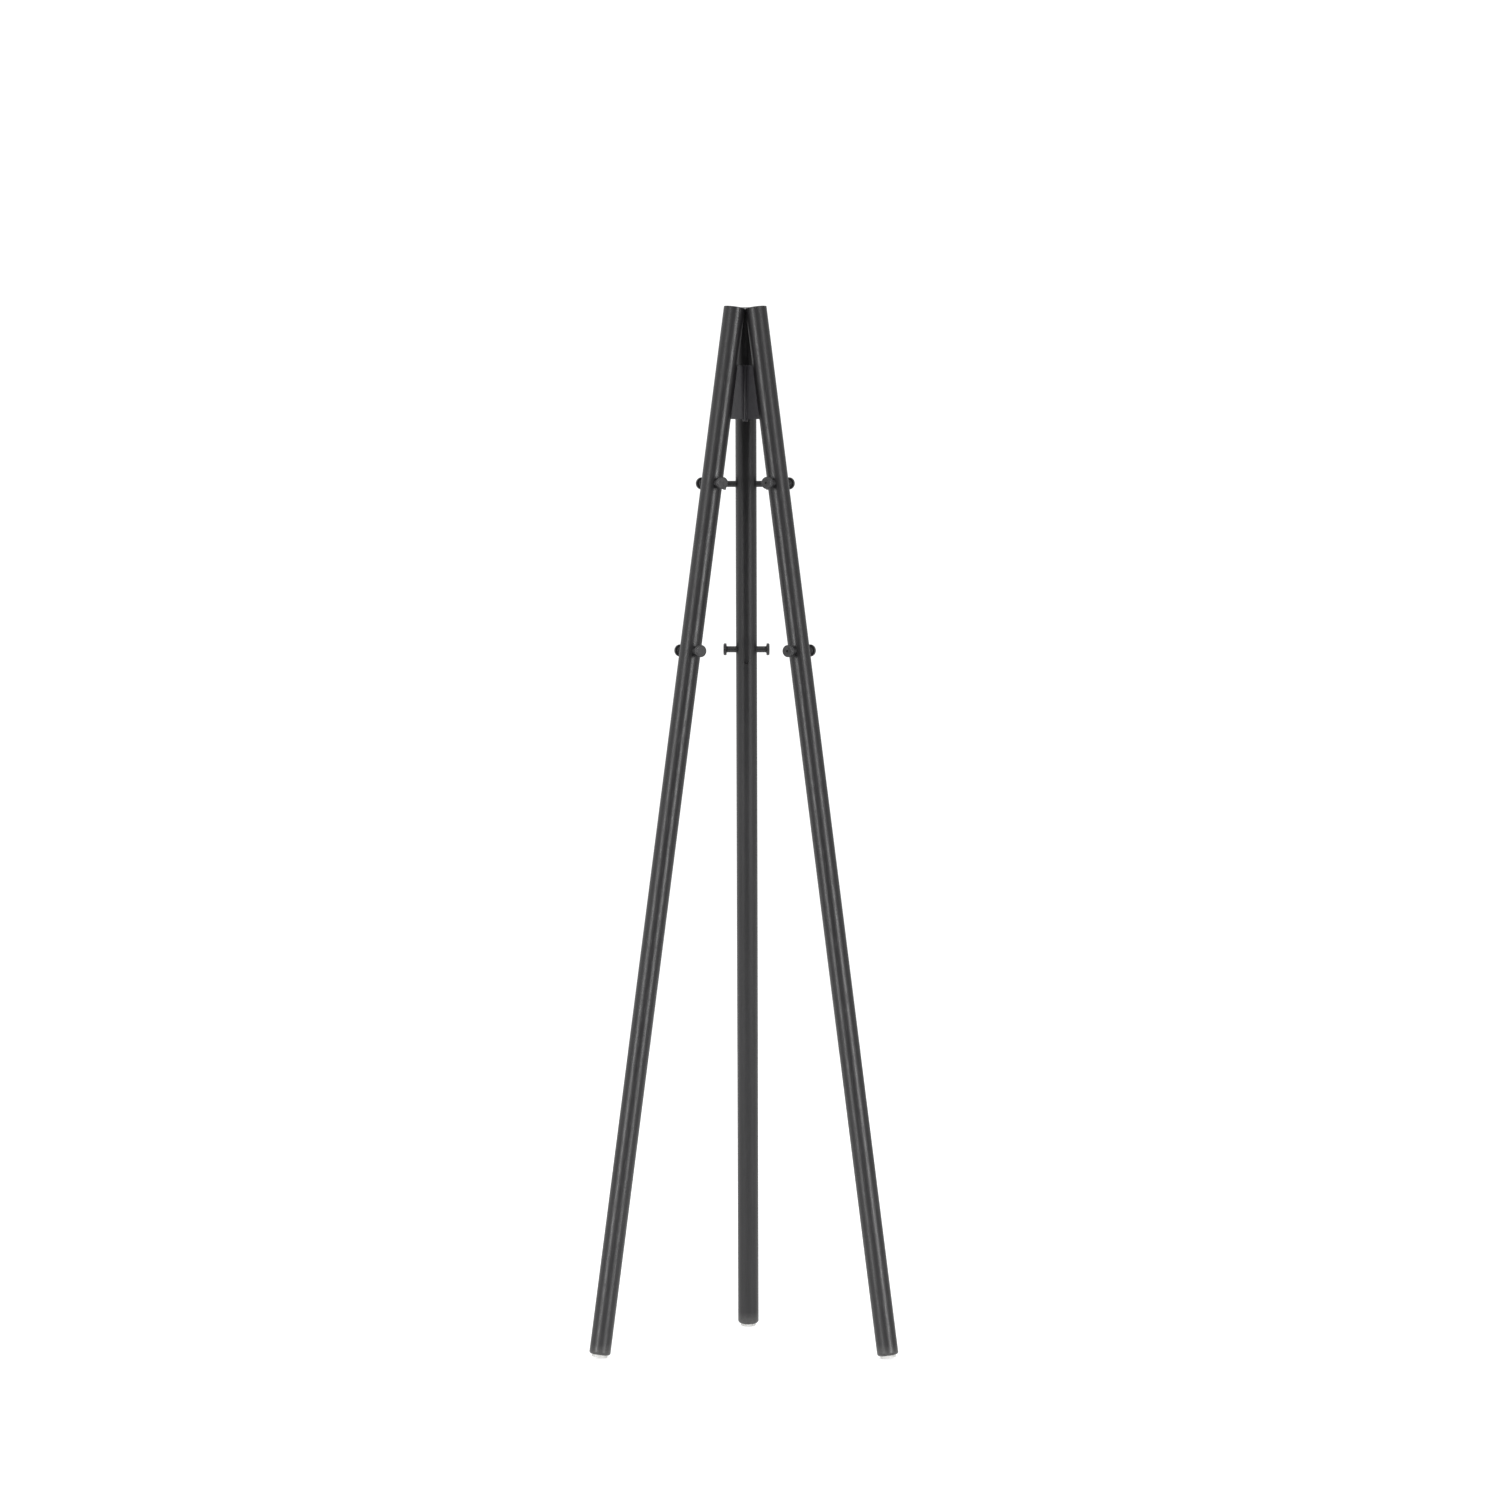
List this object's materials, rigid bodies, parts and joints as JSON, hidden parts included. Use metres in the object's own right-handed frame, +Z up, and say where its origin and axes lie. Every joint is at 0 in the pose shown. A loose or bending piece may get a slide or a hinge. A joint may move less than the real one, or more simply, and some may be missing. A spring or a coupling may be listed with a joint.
{
  "type": "tripod coat stand",
  "caption": "Free-standing coat stand: round black wooden legs lean together at a small steel hub and carry short level pegs with flat round heads.",
  "frame": {"origin": "on the stand's upright axis, at floor level", "axes": "+Z up; +Y towards the rear leg; +X to the right as seen from the front, between the two front legs"},
  "size_m": [0.5248, 0.4593, 1.7897],
  "materials": {
    "stained_wood": "black stain under satin lacquer, fine open grain",
    "hub_steel": "matt black powder coat",
    "peg_metal": "satin black",
    "screw_steel": "black oxide",
    "glide_plastic": "pale grey moulded plastic",
    "nail_steel": "bright nail steel"
  },
  "bodies": {
    "root": {"glide_front_left": "glide_plastic", "glide_front_right": "glide_plastic", "glide_nail_front_left": "nail_steel", "glide_nail_front_right": "nail_steel", "glide_nail_rear": "nail_steel", "glide_rear": "glide_plastic", "hub_core": "hub_steel", "hub_wing_front_left": "hub_steel", "hub_wing_front_right": "hub_steel", "hub_wing_rear": "hub_steel", "leg_front_left": "stained_wood", "leg_front_right": "stained_wood", "leg_rear": "stained_wood", "peg_blind_lower_front_left": "peg_metal", "peg_blind_lower_front_right": "peg_metal", "peg_blind_lower_rear": "peg_metal", "peg_blind_upper_front_left": "peg_metal", "peg_blind_upper_front_right": "peg_metal", "peg_blind_upper_rear": "peg_metal", "peg_screw_lower_front_left": "screw_steel", "peg_screw_lower_front_right": "screw_steel", "peg_screw_lower_rear": "screw_steel", "peg_screw_upper_front_left": "screw_steel", "peg_screw_upper_front_right": "screw_steel", "peg_screw_upper_rear": "screw_steel", "peg_socket_lower_front_left": "peg_metal", "peg_socket_lower_front_right": "peg_metal", "peg_socket_lower_rear": "peg_metal", "peg_socket_upper_front_left": "peg_metal", "peg_socket_upper_front_right": "peg_metal", "peg_socket_upper_rear": "peg_metal"}
  },
  "joints": []
}
